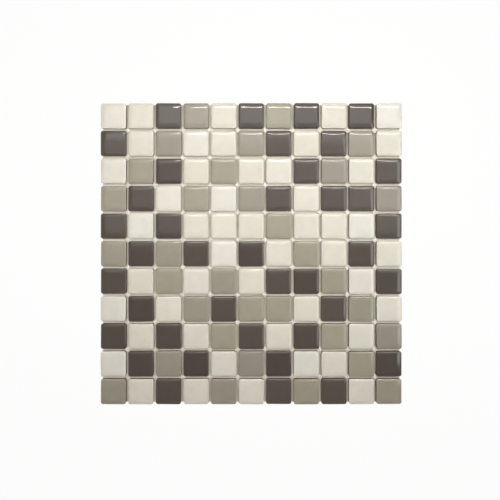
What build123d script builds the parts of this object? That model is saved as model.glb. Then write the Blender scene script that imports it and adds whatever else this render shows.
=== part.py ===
from build123d import *
from math import radians, sqrt, tan
import os

# A mosaic sheet for lining pools: small square chips of glazed porcelain, laid in an even grid with
# open joints and tied into a sheet by plastic dots at the joint crossings. Millimetres, +Z up, the
# glazed faces on top. The origin is the middle of the chips' backs, and +Y points to the far row.

# Chip
CHIP = 25.0  # across the chip at its widest, from arris to arris
CHIP_THICK = 5.0  # from the back to the glazed face
CORNER_RADIUS = 2.2  # corners in plan, at the arris
CUSHION_WIDTH = 4.0  # rolled edge, from the flat of the face out to the arris
CUSHION_DROP = 1.2  # how far the arris lies below the face
DRAFT = 3.0  # degrees by which the walls draw in towards the back

# Sheet
JOINT = 2.3  # gap between neighbouring arrises
DOT_SPAN = 6.0  # across a dot, along the joints
DOT_THICK = 2.4  # from the chips' backs up into the joint

# Laying plan seen from above, far row first, one letter for each chip
SHADES = {"C": "cream_chips", "S": "sage_chips", "D": "charcoal_chips"}
LAYING_PLAN = (
    "CCDSCDSDCDC",
    "DCSCCSDCDSC",
    "CSDCSCCDSCD",
    "SDCSCSDCDDS",
    "DCDCCCSCCCD",
    "SDSDCDCSCDC",
    "DCSCSCDDSCD",
    "CDCSDSSCDSC",
    "DCDCSDCDSCS",
    "CDSDCSDCCSD",
    "SCDCSCDSDCS",
)

# Sizes that follow
ROWS = len(LAYING_PLAN)
COLUMNS = len(LAYING_PLAN[0])
PITCH = CHIP + JOINT
FLAT = CHIP - 2 * CUSHION_WIDTH
CUSHION_RADIUS = (CUSHION_WIDTH**2 + CUSHION_DROP**2) / (2 * CUSHION_DROP)
WALL_INSET = (CHIP_THICK - CUSHION_DROP) * tan(radians(DRAFT))
BACK = CHIP - 2 * WALL_INSET
BACK_CORNER_RADIUS = CORNER_RADIUS - WALL_INSET
DOT_REACH = sqrt(2) * (PITCH / 2 - BACK / 2 + BACK_CORNER_RADIUS) - BACK_CORNER_RADIUS

# Cushion: a block whose rounded top edges leave the flat of the face and pass through the arris
with BuildPart() as cushion:
    with Locations((0, 0, CHIP_THICK)):
        Box(
            FLAT + 2 * CUSHION_RADIUS,
            FLAT + 2 * CUSHION_RADIUS,
            CHIP_THICK + CUSHION_RADIUS,
            align=(Align.CENTER, Align.CENTER, Align.MAX),
        )
    fillet(cushion.faces().sort_by(Axis.Z)[-1].edges(), CUSHION_RADIUS)

# Chip: a square that widens from its back up to the arris, topped by the cushion. It repeats so often
# that each rounded corner is three flats that touch its radius: one cut across it, then two beside that.
with BuildPart() as chip:
    with BuildSketch() as outline:
        Rectangle(BACK, BACK)
        for turn in (45, 22.5):
            leg = BACK_CORNER_RADIUS * (tan(radians(turn)) - tan(radians(turn / 2)))
            chamfer(outline.vertices(), leg)
    extrude(amount=CHIP_THICK, taper=-DRAFT)
    add(cushion.part, mode=Mode.INTERSECT)

# Dot: a drop of plastic that fills a joint crossing, with a side set against each of the four corners
# around it. It narrows upwards as the chips widen, so that it lies on their walls.
with BuildPart() as dot:
    with BuildSketch():
        Rectangle(DOT_SPAN, DOT_SPAN)
        Rectangle(2 * DOT_REACH, 2 * DOT_REACH, rotation=45, mode=Mode.INTERSECT)
    extrude(amount=DOT_THICK, taper=DRAFT)

with BuildPart() as joint_dots:
    with GridLocations(PITCH, PITCH, COLUMNS - 1, ROWS - 1):
        add(dot.part)


def places(letter):
    """Where the plan puts the chips of one shade, from the far left corner to the near right one."""
    return [
        Location(((column - (COLUMNS - 1) / 2) * PITCH, ((ROWS - 1) / 2 - row) * PITCH, 0))
        for row, shades in enumerate(LAYING_PLAN)
        for column, shade in enumerate(shades)
        if shade == letter
    ]


os.makedirs("parts", exist_ok=True)

for letter, name in SHADES.items():
    with BuildPart() as chips:
        with Locations(*places(letter)):
            add(chip.part)
    chips.part.label = name
    export_step(chips.part, f"parts/{name}.step")

joint_dots.part.label = "joint_dots"
export_step(joint_dots.part, "parts/joint_dots.step")
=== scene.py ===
# %% [markdown]
# # A mosaic sheet for a pool
#
# A pool is lined with sheets like this one. Its 121 chips are small squares of porcelain that were
# pressed from powder, sprayed with a glossy glaze in one of three shades, and fired. They lie in an
# even grid with open joints, and drops of soft plastic at the joint crossings tie them together
# until the sheet is bedded.
#
# A solid model already says where every chip and drop is. This lesson loads it as a fixed frame and
# makes what the eye sees of it: the rolled edges, the glaze, the dull clay below it and the milky
# drops.

# %% Load the frame and measure the sheet
import bpy
import numpy as np
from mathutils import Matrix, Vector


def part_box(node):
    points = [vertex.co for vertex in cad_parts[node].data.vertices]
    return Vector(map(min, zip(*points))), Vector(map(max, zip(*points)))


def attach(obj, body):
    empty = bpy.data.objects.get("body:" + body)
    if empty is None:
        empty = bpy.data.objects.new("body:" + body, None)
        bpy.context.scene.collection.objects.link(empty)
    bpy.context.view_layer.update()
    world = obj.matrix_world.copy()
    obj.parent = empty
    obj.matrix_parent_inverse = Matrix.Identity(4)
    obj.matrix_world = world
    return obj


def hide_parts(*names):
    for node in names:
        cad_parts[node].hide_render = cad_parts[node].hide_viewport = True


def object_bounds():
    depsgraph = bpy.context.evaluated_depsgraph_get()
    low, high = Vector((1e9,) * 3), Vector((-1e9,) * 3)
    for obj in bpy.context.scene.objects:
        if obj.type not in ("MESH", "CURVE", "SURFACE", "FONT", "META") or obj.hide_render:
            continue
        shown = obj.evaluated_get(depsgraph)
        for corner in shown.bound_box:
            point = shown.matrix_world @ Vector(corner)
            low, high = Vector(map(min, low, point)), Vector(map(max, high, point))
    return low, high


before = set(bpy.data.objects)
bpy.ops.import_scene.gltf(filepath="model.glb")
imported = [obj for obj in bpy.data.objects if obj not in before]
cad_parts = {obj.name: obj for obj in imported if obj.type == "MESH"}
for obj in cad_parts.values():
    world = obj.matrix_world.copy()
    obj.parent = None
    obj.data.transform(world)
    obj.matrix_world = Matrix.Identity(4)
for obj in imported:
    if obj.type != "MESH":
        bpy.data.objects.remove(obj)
cad_box = [list(corner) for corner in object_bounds()]
sheet_low, sheet_high = np.array(cad_box)
print("sheet in metres:", np.round(sheet_high - sheet_low, 4))

# %% [markdown]
# ## The camera
#
# The photograph looks straight down on the sheet, so the camera needs no turn: an unturned Blender
# camera looks along -Z with +Y up in the picture. The joints are the ruler. Their spacing in pixels
# and in metres gives the size of a pixel at the chips' faces, and so the width of the field and the
# lens for a chosen height.
#
# The dark walls in the joints give the rest away. They are hidden straight below the lens and grow
# wider away from there, and wider still for a low camera. In the photograph they change sides at
# the fourth joint from the far row, not in the middle, so the picture was cut out of a larger one.
# A shifted lens does the same: the camera stays level over its own foot, and the picture moves
# aside to the sheet.

# %% Place the camera
MM = 0.001
COLUMNS = 11  # chips along a side of the sheet
JOINT = 2.3 * MM  # gap between neighbouring chips
PHOTO_SIDE = 500  # pixels
PHOTO_PITCH = 27.64  # pixels from one joint to the next
PHOTO_MIDDLE = (251.3, 253.84)  # the pixel where the middle of the sheet lies
CAMERA_HEIGHT = 420 * MM  # from the chips' faces up to the lens
CAMERA_FOOT = np.array([-10, 40]) * MM  # the place straight below the lens

pitch = (sheet_high[0] - sheet_low[0] + JOINT) / COLUMNS
pixel = pitch / PHOTO_PITCH
lens = bpy.data.cameras.new("photo_camera")
lens.lens = lens.sensor_width * CAMERA_HEIGHT / (PHOTO_SIDE * pixel)
camera = bpy.data.objects.new("photo_camera", lens)
camera.location = (*CAMERA_FOOT, sheet_high[2] + CAMERA_HEIGHT)
photo_centre = (PHOTO_SIDE / 2 - np.array(PHOTO_MIDDLE)) * (1, -1) * pixel
lens.shift_x, lens.shift_y = (photo_centre - CAMERA_FOOT) / (PHOTO_SIDE * pixel)
scene = bpy.context.scene
scene.collection.objects.link(camera)
scene.camera = camera
print("pitch in metres:", round(pitch, 5), "lens in millimetres:", round(lens.lens, 2))

# %% [markdown]
# ## Where the chips lie
#
# The plan of the three shades is not repeated here, because the frame holds it: each shade is one
# node, and its vertices are gathered in the cells of the grid where that shade has a chip. Counting
# the cells that hold a vertex gives the middle of every chip, with no list of places to keep in
# step.

# %% Read the places of the chips
chip = pitch - JOINT
thick = sheet_high[2] - sheet_low[2]


def chip_middles(node_name):
    """Middles of the chips in one node. A vertex's cell is its distance from the sheet's low
    corner, with half a joint added, divided by the pitch and rounded down."""
    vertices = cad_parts[node_name].data.vertices
    points = np.empty(3 * len(vertices))
    vertices.foreach_get("co", points)
    from_corner = points.reshape(-1, 3)[:, :2] - sheet_low[:2] + JOINT / 2
    cells = np.unique(np.floor(from_corner / pitch), axis=0)
    return sheet_low[:2] + (cells + 0.5) * pitch - JOINT / 2


SHADES = ("cream", "sage", "charcoal")
middles = {shade: chip_middles(shade + "_chips") for shade in SHADES}
print("chips of each shade:", {shade: len(places) for shade, places in middles.items()})

# %% [markdown]
# ## The outline of a chip
#
# Seen from above, every level of a chip is a square with rounded corners. It could be a plane with
# a bevel, but here it is a formula. A point of the outline is a corner's centre plus an outward
# step of one radius. Round a corner the centre stays and the step turns; along a side the step
# stays and the centre moves. Complex numbers keep that short, since a quarter turn is a
# multiplication by the imaginary unit.

# %% Work out the outline
CORNER_STEPS = 6  # steps round a corner

quarter = 1j ** np.linspace(0, 1, CORNER_STEPS + 1)
outward = np.append(quarter, 1j)
centre = np.append(np.full(CORNER_STEPS + 1, 1 + 1j), 1j)
four_turns = 1j ** np.arange(4)[:, None]
outward = (four_turns * outward).ravel()
centre = (four_turns * centre).ravel()


def rounded_square(half, radius):
    """Outline for each half width and corner radius: the corner centres of a unit square, scaled to
    the half width less the radius, plus the unit outward steps, scaled to the radius."""
    return np.multiply.outer(half - radius, centre) + np.multiply.outer(radius, outward)


print("points in an outline:", len(centre))

# %% [markdown]
# ## The profile of a chip
#
# Cut through the middle, a chip shows how it was pressed. Its back has shallow square grooves that
# give the adhesive a hold. The walls lean out a little, so that the die lets go. From the arris,
# which is the edge at the widest place, a quarter of a flat ellipse rises to the level face. The
# photograph gives this ellipse away: a lamp's reflection lies on it, and its place moves from the
# face's rim towards the arris from row to row.

# %% Work out the profile
CUSHION_WIDTH = 5.5 * MM  # from the flat of the face out to the arris
CUSHION_DROP = 1.1 * MM  # from the face down to the arris
CUSHION_STEPS = 12  # steps from the arris up to the flat
BACK_RADIUS = 0.35 * MM  # where the walls meet the back
BACK_STEPS = 2  # steps round that edge
DRAFT = np.radians(3.0)  # lean of the walls
GROOVES = np.array([4.6, 8.8]) * MM  # half widths of the square grooves in the back
GROOVE_WIDTH = 1.4 * MM
GROOVE_DEPTH = 0.45 * MM
GROOVE_SLOPE = 0.35 * MM  # width of a groove's slanted side
FLAT_RING = 0.5  # a ring inside the flat, as a share of its width


def quarter_ellipse(middle, reach, rise, start, steps):
    """Points of a quarter of an ellipse in the profile: its middle, plus the reach times the cosine
    and the rise times the sine of an angle that grows by a right angle in even steps."""
    angles = start + np.linspace(0, np.pi / 2, steps + 1)
    return np.array(middle) + np.stack([reach * np.cos(angles), rise * np.sin(angles)], axis=1)


def chip_profile(half):
    """Half width and height of each ring of a chip, from the grooves in its back, round the back's
    edge, up the wall and over the cushion to the flat. The wall leans out by the tangent of the
    draft for each unit of height."""
    arris = thick - CUSHION_DROP
    back = half - (arris - BACK_RADIUS) * np.tan(DRAFT)
    groove = np.array([(-1, 0), (-1, 1), (1, 1), (1, 0)]) * (GROOVE_WIDTH / 2, GROOVE_DEPTH)
    groove[1:3, 0] *= 1 - 2 * GROOVE_SLOPE / GROOVE_WIDTH
    grooves = np.stack([GROOVES, np.zeros(len(GROOVES))], axis=1)[:, None] + groove
    flat = half - CUSHION_WIDTH
    return np.concatenate([
        grooves.reshape(-1, 2),
        quarter_ellipse(
            (back - BACK_RADIUS, BACK_RADIUS), BACK_RADIUS, BACK_RADIUS, -np.pi / 2, BACK_STEPS
        ),
        quarter_ellipse((flat, arris), CUSHION_WIDTH, CUSHION_DROP, 0, CUSHION_STEPS),
        [(FLAT_RING * flat, thick)],
    ])


profile = chip_profile(chip / 2)
print("rings in a chip:", len(profile))

# %% [markdown]
# ## One chip as a closed skin
#
# A ring of the skin is the outline at one level of the profile. The corners grow rounder inwards,
# as glaze that ran before it set makes them. A single point closes the skin in the middle of the
# back and of the face, so that there is no seam and no hole. The faces go round each ring in the
# same sense and point outwards.

# %% Make one chip
CORNER_RADIUS = 2.2 * MM
ROUNDING = 0.35  # growth of the corner radius for each step inwards
ROUNDEST = 0.8  # largest share of the half width that a corner takes


def skin_points(poles, rings, heights, low, high):
    """Points of closed skins, one for each pole: the pole at the low height, its rings in order,
    the pole at the high one. Places in the plan are complex numbers, with x and y as parts."""
    pole = poles[:, None]
    plan = np.concatenate([pole, rings.reshape(len(poles), -1), pole], axis=1)
    height = np.concatenate([[low], np.repeat(heights, rings.shape[-1]), [high]])
    return np.stack([plan.real, plan.imag, np.broadcast_to(height, plan.shape)], axis=-1)


def skin_faces(ring_count, ring_size):
    """Faces of one such skin: four-sided ones between each ring and the next, and a fan of
    triangles round each pole."""
    grid = 1 + np.arange(ring_count * ring_size).reshape(ring_count, ring_size)
    onward = np.roll(grid, -1, axis=1)
    low = np.zeros(ring_size, dtype=int)
    high = np.full(ring_size, grid[-1, -1] + 1)
    quads = np.stack([grid[:-1], onward[:-1], onward[1:], grid[1:]], axis=-1).reshape(-1, 4)
    fans = np.stack([[low, onward[0], grid[0]], [high, grid[-1], onward[-1]]])
    return quads, fans.swapaxes(1, 2).reshape(-1, 3)


half, level = profile.T
radius = np.minimum(CORNER_RADIUS + ROUNDING * (chip / 2 - half), ROUNDEST * half)
chip_points = skin_points(np.zeros(1), rounded_square(half, radius), level, 0.0, thick)[0]
chip_faces = skin_faces(len(profile), len(centre))
print("points in a chip:", len(chip_points), "faces:", sum(len(faces) for faces in chip_faces))

# %% [markdown]
# ## Laying the chips
#
# Chips are laid by machine into a tray, but each has some play there, and shrinks in the kiln by
# its own amount. So every copy is a little smaller, turned, pushed aside and tipped, by amounts
# drawn from a seeded generator, which gives the same sheet at every run. All copies of a shade are
# one array, and become one mesh. Each chip also gets a number for how hard it was fired, kept on
# its points for the glaze to read.

# %% Lay the chips of each shade
SHRINK = 0.006  # largest part by which a chip is undersized
TURN = np.radians(0.4)  # largest turn in the plan
PLAY = 0.2 * MM  # sideways
TIP = 0.006  # rise of the face from one edge to the other, over the chip's width
LAYING_SEED = 11
SHARP_ANGLE = np.radians(40)  # edges that turn by more than this stay sharp

draws = np.random.default_rng(LAYING_SEED)


def lay(points, places):
    """Copies of a chip, one for each place. In the plan a copy is the chip times its size and its
    turn, as a complex factor, plus its place. Its height grows with the distance along a slope of
    its own."""
    count = len(places)
    size = 1 - SHRINK * draws.random(count)
    turned = size * np.exp(1j * TURN * draws.uniform(-1, 1, count))
    place = places @ (1, 1j) + PLAY * draws.uniform(-1, 1, (count, 2)) @ (1, 1j)
    slope = TIP * draws.uniform(-1, 1, (count, 2)) / thick
    plan = turned[:, None] * (points[:, :2] @ (1, 1j)) + place[:, None]
    height = points[:, 2] * (1 - SHRINK + slope @ points[:, :2].T)
    return np.stack([plan.real, plan.imag, height], axis=-1)


def new_piece(name, copies, faces):
    """A mesh object from copies of one closed skin. The faces of a copy are those of the first,
    with the number of points in all copies before it added."""
    count, size, _ = copies.shape
    starts = size * np.arange(count)[:, None, None]
    moved = [(kind + starts).reshape(-1, kind.shape[1]) for kind in faces]
    polygons = [row for kind in moved for row in kind.tolist()]
    mesh = bpy.data.meshes.new(name)
    mesh.from_pydata(copies.reshape(-1, 3), [], polygons)
    mesh.shade_smooth()
    mesh.set_sharp_from_angle(angle=SHARP_ANGLE)
    piece = bpy.data.objects.new(name, mesh)
    scene.collection.objects.link(piece)
    return piece


chips = {}
for shade in SHADES:
    laid = lay(chip_points, middles[shade])
    piece = new_piece(shade + "_glazed_chips", laid, chip_faces)
    firing = piece.data.attributes.new("firing", "FLOAT", "POINT")
    firing.data.foreach_set("value", np.repeat(draws.random(len(laid)), len(chip_points)))
    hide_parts(shade + "_chips")
    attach(piece, "root")
    chips[shade] = piece
    print(piece.name, "faces:", len(piece.data.polygons))

# %% [markdown]
# ## The drops at the crossings
#
# Soft plastic is poured into each crossing from the back, before the sheet is turned over. It runs
# against the four rounded corners, creeps a short way into the four joints and sets with a low
# dome. Seen from above the outline is a distance for each angle: to the arm's end, or to the
# nearest corner or wall.

# %% Make the drops
DROP_ARM = 3.0 * MM  # from the crossing to the end of an arm
DROP_RAGGED = 0.35 * MM  # how far the arms differ
DROP_BITE = 0.25 * MM  # how far the plastic laps onto a wall, which hides the edge
DROP_ANGLES = 24  # points in the outline of a drop
DROP_SAG = 0.25  # fall of the dome at its rim, as a share of the height
# Rings of a drop, from its foot to its dome, as shares of its outline and of its height
DROP_SHARES = np.array([0.9, 1.0, 1.0, 0.75, 0.4])
DROP_LEVELS = np.array([0.0, 0.08, 1 - DROP_SAG, 1 - 0.45 * DROP_SAG, 1 - 0.12 * DROP_SAG])
NEARLY_ZERO = 1e-9  # replaces a sine of zero, which can't divide


def drop_reach(angles, arm):
    """Distance from a crossing to the outline of its drop. The arms end square to the joints, the
    walls lie half a joint to each side, and a corner is a circle that the line at that angle meets,
    or misses."""
    along = np.maximum(abs(np.cos(angles)), abs(np.sin(angles)))
    across = np.minimum(abs(np.cos(angles)), abs(np.sin(angles)))
    out = JOINT / 2 + CORNER_RADIUS
    chord = CORNER_RADIUS**2 - (out * (along - across)) ** 2
    corner = np.where(chord > 0, out * (along + across) - np.sqrt(np.maximum(chord, 0)), arm)
    wall = JOINT / 2 / np.maximum(across, NEARLY_ZERO)
    return np.minimum(np.minimum(corner, wall) + DROP_BITE, arm / along)


drop_low, drop_high = (np.array(corner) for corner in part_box("joint_dots"))
drop_height = drop_high[2] - drop_low[2]
lines = (np.arange(COLUMNS - 1) - (COLUMNS - 2) / 2) * pitch
crossings = (lines[:, None] + 1j * lines).ravel()
angles = 2 * np.pi * np.arange(DROP_ANGLES) / DROP_ANGLES
arms = DROP_ARM + DROP_RAGGED * draws.uniform(-1, 1, (len(crossings), DROP_ANGLES))
outlines = drop_reach(angles, arms) * np.exp(1j * angles)
rings = crossings[:, None, None] + DROP_SHARES[:, None] * outlines[:, None, :]
levels = drop_low[2] + DROP_LEVELS * drop_height
drop_points = skin_points(crossings, rings, levels, drop_low[2], drop_high[2])
drop_faces = skin_faces(len(DROP_SHARES), DROP_ANGLES)
drops = new_piece("poured_joint_drops", drop_points, drop_faces)
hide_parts("joint_dots")
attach(drops, "root")
print(drops.name, "drops:", len(crossings), "faces:", len(drops.data.polygons))

# %% [markdown]
# ## Colours and nodes
#
# Colours are written as they would be picked on a screen, in sRGB, and Blender's shaders count in
# linear light, so one function turns the one into the other. A second small function adds any node:
# its settings by name, and its inputs by name or number, where a socket is linked and anything else
# is set. A third starts a material without nodes.

# %% Helpers for materials
def linear(hex_colour):
    """Linear red, green, blue and alpha of an sRGB hex value: each part is divided by 12.92 near
    black, and elsewhere shifted, scaled and raised to the power 2.4."""
    part = np.array(list(bytes.fromhex(hex_colour))) / 255
    return (*np.where(part <= 0.04045, part / 12.92, ((part + 0.055) / 1.055) ** 2.4), 1.0)


def add_node(tree, kind, inputs=None, **settings):
    """Adds a shader node with its settings, then fills its inputs."""
    node = tree.nodes.new("ShaderNode" + kind)
    for name, value in settings.items():
        setattr(node, name, value)
    for key, value in (inputs or {}).items():
        if isinstance(value, bpy.types.NodeSocket):
            tree.links.new(value, node.inputs[key])
        else:
            node.inputs[key].default_value = value
    return node


def new_material(name):
    """A material with an empty node tree."""
    material = bpy.data.materials.new(name)
    material.use_nodes = True
    material.node_tree.nodes.clear()
    return material, material.node_tree


MIX_A, MIX_B, MIX_COLOUR = 6, 7, 2  # the colour sockets of a Mix node
print("middle grey as linear light:", np.round(linear("808080"), 3))

# %% [markdown]
# ## Glazed porcelain
#
# A glaze is a skin of glass, so it is smooth and has the refractive index of glass. It was sprayed
# from above, so it covers the face and only the top of the walls, where it ends in a wavering line.
# The body below is bare and quite dull. Its grey-brown is painted darker than the body's own
# colour, as painted shade on the walls in the joints, which draws the dark lines there. No two
# chips come
# out quite alike: the firing number moves each chip's shade a little, and a soft cloud does so
# within a chip. A faint ripple, a few millimetres long, bends the reflections as on poured glass.

# %% Make the glazes
GLAZE_IOR = 1.52
GLAZE_ROUGHNESS = 0.06
CLAY_ROUGHNESS = 0.85
# the bare clay body, painted darker than its own colour as shade on the walls in the joints
CLAY_AND_PAINTED_SHADE = "685d4f"  # the bare body
GLAZE_LINE = 3.4 * MM  # height of the glaze's lower edge, just below the arris
LINE_WAVER = 0.7 * MM  # how far that edge wanders
LINE_LENGTH = 7 * MM  # how long its waves are
LINE_SOFT = 0.12 * MM  # how gradually it thins out
CLOUD_LENGTH = 9 * MM  # how long the clouds in the glaze are
CLOUD_DEPTH = 0.03  # part of the brightness that the cloud moves
CLOUD_LOW, CLOUD_HIGH = 0.3, 0.7  # where nearly all values of the noise lie
RIPPLE_LENGTH = 4 * MM
RIPPLE_HEIGHT = 0.02 * MM
GRAIN_LENGTH = 0.5 * MM  # coarser than the clay's own grit, so that it shows
GRAIN_HEIGHT = 0.05 * MM


def glazed_porcelain(name, soft_fired, usual, hard_fired):
    """Glossy glaze on a dull clay body. Three colours give the shade over the range of the firing
    number."""
    material, tree = new_material(name)
    place = add_node(tree, "TexCoord").outputs["Object"]
    height = add_node(tree, "SeparateXYZ", {0: place}).outputs["Z"]
    waver = add_node(tree, "TexNoise", {"Vector": place, "Scale": 1 / LINE_LENGTH, "Detail": 1.0})
    above = add_node(
        tree, "Math", {0: waver.outputs["Fac"], 1: -LINE_WAVER, 2: height}, operation="MULTIPLY_ADD"
    )
    edge = GLAZE_LINE - LINE_WAVER / 2
    glazed = add_node(
        tree, "MapRange", {0: above.outputs[0], 1: edge - LINE_SOFT, 2: edge + LINE_SOFT},
        interpolation_type="SMOOTHSTEP",
    ).outputs[0]

    firing = add_node(tree, "Attribute", attribute_name="firing")
    shade = add_node(tree, "ValToRGB", {0: firing.outputs["Fac"]})
    shade.color_ramp.elements.new(0.5)  # the usual shade lies half way
    for stop, colour in zip(shade.color_ramp.elements, (soft_fired, usual, hard_fired)):
        stop.color = linear(colour)
    cloud = add_node(tree, "TexNoise", {"Vector": place, "Scale": 1 / CLOUD_LENGTH, "Detail": 3.0})
    brightness = add_node(
        tree, "MapRange",
        {
            0: cloud.outputs["Fac"],
            1: CLOUD_LOW,
            2: CLOUD_HIGH,
            3: 1 - CLOUD_DEPTH,
            4: 1 + CLOUD_DEPTH,
        },
    )
    clouded = add_node(
        tree, "HueSaturation", {"Color": shade.outputs["Color"], "Value": brightness.outputs[0]}
    )
    # below the glaze line the colour is that darkened clay, painted shade for the joint walls
    colour = add_node(
        tree, "Mix",
        {0: glazed, MIX_A: linear(CLAY_AND_PAINTED_SHADE), MIX_B: clouded.outputs["Color"]},
        data_type="RGBA",
    )
    roughness = add_node(tree, "MapRange", {0: glazed, 3: CLAY_ROUGHNESS, 4: GLAZE_ROUGHNESS})

    ripple = add_node(
        tree, "TexNoise", {"Vector": place, "Scale": 1 / RIPPLE_LENGTH, "Detail": 1.0}
    )
    rippled = add_node(tree, "Bump", {"Height": ripple.outputs["Fac"], "Distance": RIPPLE_HEIGHT})
    grain = add_node(tree, "TexNoise", {"Vector": place, "Scale": 1 / GRAIN_LENGTH, "Detail": 2.0})
    bare = add_node(tree, "Math", {0: 1.0, 1: glazed}, operation="SUBTRACT")
    grainy = add_node(
        tree, "Bump",
        {
            "Strength": bare.outputs[0],
            "Height": grain.outputs["Fac"],
            "Distance": GRAIN_HEIGHT,
            "Normal": rippled.outputs["Normal"],
        },
    )
    glaze = add_node(
        tree, "BsdfPrincipled",
        {
            "Base Color": colour.outputs[MIX_COLOUR],
            "Roughness": roughness.outputs[0],
            "IOR": GLAZE_IOR,
            "Normal": grainy.outputs["Normal"],
        },
    )
    add_node(tree, "OutputMaterial", {"Surface": glaze.outputs["BSDF"]})
    return material


GLAZES = {
    "cream": ("ddd8c9", "e1ddcf", "e4e1d7"),
    "sage": ("9a9488", "a19b8b", "a4a08d"),
    "charcoal": ("524a44", "59524b", "5d574f"),
}
for shade, colours in GLAZES.items():
    chips[shade].data.materials.append(glazed_porcelain(shade + "_glazed_porcelain", *colours))
    print(shade, "glaze:", chips[shade].data.materials[0].name)

# %% [markdown]
# ## Soft white PVC
#
# The drops are plasticised PVC, white and a little dull, as it set in the open air. Its surface has
# small dents from bubbles and from the tray, and its white is uneven where the drop is thin.

# %% Make the plastic
PVC_IOR = 1.53
PVC_ROUGHNESS = 0.38
PVC_THIN = "e0d8c8"
PVC_THICK = "efe9dd"
PVC_CLOUD_LENGTH = 5 * MM
PVC_DENT_LENGTH = 1.2 * MM
PVC_DENT_DEPTH = 0.06 * MM

pvc, pvc_tree = new_material("soft_white_pvc")
pvc_place = add_node(pvc_tree, "TexCoord").outputs["Object"]
pvc_cloud = add_node(pvc_tree, "TexNoise", {"Vector": pvc_place, "Scale": 1 / PVC_CLOUD_LENGTH})
pvc_colour = add_node(
    pvc_tree, "Mix",
    {0: pvc_cloud.outputs["Fac"], MIX_A: linear(PVC_THIN), MIX_B: linear(PVC_THICK)},
    data_type="RGBA",
)
pvc_dents = add_node(pvc_tree, "TexNoise", {"Vector": pvc_place, "Scale": 1 / PVC_DENT_LENGTH})
pvc_dented = add_node(
    pvc_tree, "Bump", {"Height": pvc_dents.outputs["Fac"], "Distance": PVC_DENT_DEPTH}
)
pvc_shader = add_node(
    pvc_tree, "BsdfPrincipled",
    {
        "Base Color": pvc_colour.outputs[MIX_COLOUR],
        "Roughness": PVC_ROUGHNESS,
        "IOR": PVC_IOR,
        "Normal": pvc_dented.outputs["Normal"],
    },
)
add_node(pvc_tree, "OutputMaterial", {"Surface": pvc_shader.outputs["BSDF"]})
drops.data.materials.append(pvc)
print("plastic:", pvc.name)

# %% [markdown]
# ## The floor
#
# The sheet lies on a leaf of cream paper of its own size, and that on a white board. Under plain
# light a white board is a shade below white in the picture, so most of what it shows is glow, for
# the camera and for mirrors and glass. The rest is ordinary paint, which keeps the shadow at the
# border. The paper has no glow, so the joints are as dim as the light that reaches down into them.

# %% Make the floor
FLOOR_HALF = 4.0  # metres
FLOOR_DROP = 0.3 * MM  # below the chips' backs
FLOOR_WHITE = "faf9f6"
FLOOR_GLOW = 0.94  # share of the board's look that is glow
PAPER_DROP = 0.1 * MM  # below the chips' backs
PAPER_MARGIN = 0.8 * MM  # how far the sheet's border stands out over the paper
PAPER_CREAM = "e5decf"


def seen_share(tree, others):
    """A number that is 1 for rays that see a surface, straight, in a mirror or through glass, and a
    smaller one for all others, which ask how much light it sends onto dull surfaces."""
    rays = add_node(tree, "LightPath").outputs
    seen = rays["Is Camera Ray"]
    for kind in ("Is Glossy Ray", "Is Transmission Ray"):
        seen = add_node(tree, "Math", {0: seen, 1: rays[kind]}, operation="MAXIMUM").outputs[0]
    return add_node(tree, "MapRange", {0: seen, 3: others, 4: 1.0}).outputs[0]


def add_ground(name, half, drop):
    """A level square under the sheet, not attached to it: the corners of a unit square times the
    half width, at the chips' backs less the drop."""
    corners = np.array([(-1, -1, 0), (1, -1, 0), (1, 1, 0), (-1, 1, 0)]) * half
    mesh = bpy.data.meshes.new(name)
    mesh.from_pydata(corners + (0, 0, sheet_low[2] - drop), [], [(0, 1, 2, 3)])
    ground = bpy.data.objects.new(name, mesh)
    scene.collection.objects.link(ground)
    return ground


floor = add_ground("white_board", FLOOR_HALF, FLOOR_DROP)
paper = add_ground("cream_paper", sheet_high[0] - PAPER_MARGIN, PAPER_DROP)

board, board_tree = new_material("white_painted_board")
seen = seen_share(board_tree, 0.0)
share = add_node(board_tree, "Math", {0: seen, 1: FLOOR_GLOW}, operation="MULTIPLY")
paint = add_node(board_tree, "BsdfDiffuse", {"Color": linear(FLOOR_WHITE)})
glow = add_node(board_tree, "Emission", {"Color": (1, 1, 1, 1), "Strength": 1.0})
both = add_node(
    board_tree, "MixShader",
    {0: share.outputs[0], 1: paint.outputs["BSDF"], 2: glow.outputs["Emission"]},
)
add_node(board_tree, "OutputMaterial", {"Surface": both.outputs["Shader"]})
floor.data.materials.append(board)

leaf, leaf_tree = new_material("uncoated_cream_paper")
fibre = add_node(leaf_tree, "BsdfDiffuse", {"Color": linear(PAPER_CREAM)})
add_node(leaf_tree, "OutputMaterial", {"Surface": fibre.outputs["BSDF"]})
paper.data.materials.append(leaf)
print("ground:", floor.name, paper.name)

# %% [markdown]
# ## The light
#
# The light has two parts. What falls on the sheet comes from close to the lens, since the joints
# are bright as deep as the camera sees into them and no shadow lies beside a chip. That is a soft
# key lamp, wide from side to side and a little beyond the lens, with a small lamp over the far
# rows, so that the near rows are dimmer. The glaze does not mirror these two.
#
# What the glaze mirrors is farther off. A warm strip lamp draws the thin bright line on every far
# edge, from the middle columns to the right ones. A halo from there outwards lifts the steep part
# of those edges, a panel lifts the faces of the far rows, and a second panel brightens the right
# edges. The room is white from the horizon to well above it, so that low views have a white
# background, and dim overhead, where the chips' faces look. Only a part of it falls on dull
# surfaces, which keeps the walls in the joints dark.

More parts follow.
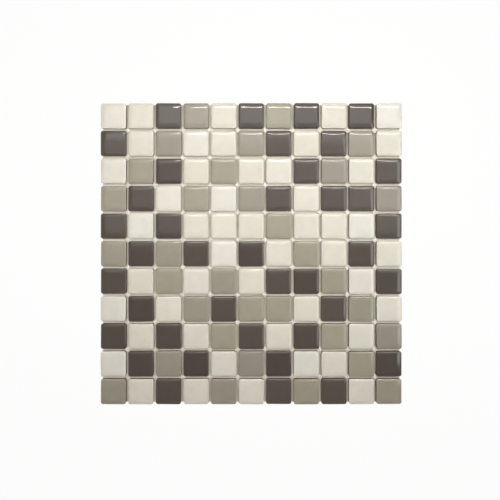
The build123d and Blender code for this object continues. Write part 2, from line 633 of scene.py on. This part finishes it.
# %% Place the lamps and the room
KEY_PLACE = (25 * MM, 70 * MM, 405 * MM)
KEY_SIZE = (700 * MM, 120 * MM)
KEY_WATTS = 1.75
FAR_PLACE = (45 * MM, 190 * MM, 200 * MM)
FAR_SIZE = (350 * MM, 40 * MM)
FAR_WATTS = 0.07
STRIP_PLACE = (350 * MM, 760 * MM, 1800 * MM)
STRIP_SIZE = (1370 * MM, 70 * MM)
STRIP_WATTS = 9.0
STRIP_WARM = "fff6ea"
HALO_PLACE = (180 * MM, 1070 * MM, 1840 * MM)
HALO_SIZE = (1920 * MM, 1270 * MM)
HALO_WATTS = 10.2
PANEL_PLACE = (98 * MM, 378 * MM, 1860 * MM)
PANEL_SIZE = (1885 * MM, 927 * MM)
PANEL_WATTS = 3.7
SIDE_PLACE = (1350 * MM, -155 * MM, 1800 * MM)
SIDE_SIZE = (766 * MM, 1400 * MM)
SIDE_WATTS = 9.0
ROOM = ((0.0, 1.0), (0.42, 0.95), (0.6, 0.15), (1.0, 0.09))  # height in the sky, brightness there
ROOM_SHARE = 0.3  # part of it that falls on dull surfaces


def add_lamp(name, place, size, watts, lean=(0, 0)):
    """An oblong area lamp. It faces down, leaning about its X axis and its Y axis by the angles
    given."""
    data = bpy.data.lights.new(name, "AREA")
    data.shape = "RECTANGLE"
    data.size, data.size_y = size
    data.energy = watts
    lamp = bpy.data.objects.new(name, data)
    lamp.location = place
    lamp.rotation_euler = (*lean, 0)
    lamp.visible_camera = False
    scene.collection.objects.link(lamp)
    return lamp


from_far = -np.arctan2(STRIP_PLACE[1], STRIP_PLACE[2])
from_right = np.arctan2(SIDE_PLACE[0], SIDE_PLACE[2])
add_lamp("soft_key", KEY_PLACE, KEY_SIZE, KEY_WATTS).visible_glossy = False
add_lamp("far_lamp", FAR_PLACE, FAR_SIZE, FAR_WATTS).visible_glossy = False
strip = add_lamp("strip_lamp", STRIP_PLACE, STRIP_SIZE, STRIP_WATTS, (from_far, 0))
strip.data.color = linear(STRIP_WARM)[:3]
add_lamp("strip_halo", HALO_PLACE, HALO_SIZE, HALO_WATTS).visible_diffuse = False
add_lamp("far_panel", PANEL_PLACE, PANEL_SIZE, PANEL_WATTS).visible_diffuse = False
add_lamp("side_panel", SIDE_PLACE, SIDE_SIZE, SIDE_WATTS, (0, from_right)).visible_diffuse = False

world = bpy.data.worlds.new("white_room")
world.use_nodes = True
world.node_tree.nodes.clear()
direction = add_node(world.node_tree, "TexCoord").outputs["Generated"]
upward = add_node(world.node_tree, "SeparateXYZ", {0: direction}).outputs["Z"]
room = add_node(world.node_tree, "ValToRGB", {0: upward})
for position, _ in ROOM[1:-1]:
    room.color_ramp.elements.new(position)
for stop, (_, brightness) in zip(room.color_ramp.elements, ROOM):
    stop.color = (brightness, brightness, brightness, 1.0)
sky = add_node(
    world.node_tree, "Background",
    {"Color": room.outputs["Color"], "Strength": seen_share(world.node_tree, ROOM_SHARE)},
)
add_node(world.node_tree, "OutputWorld", {"Surface": sky.outputs["Background"]})
scene.world = world
scene.view_settings.view_transform = "Standard"
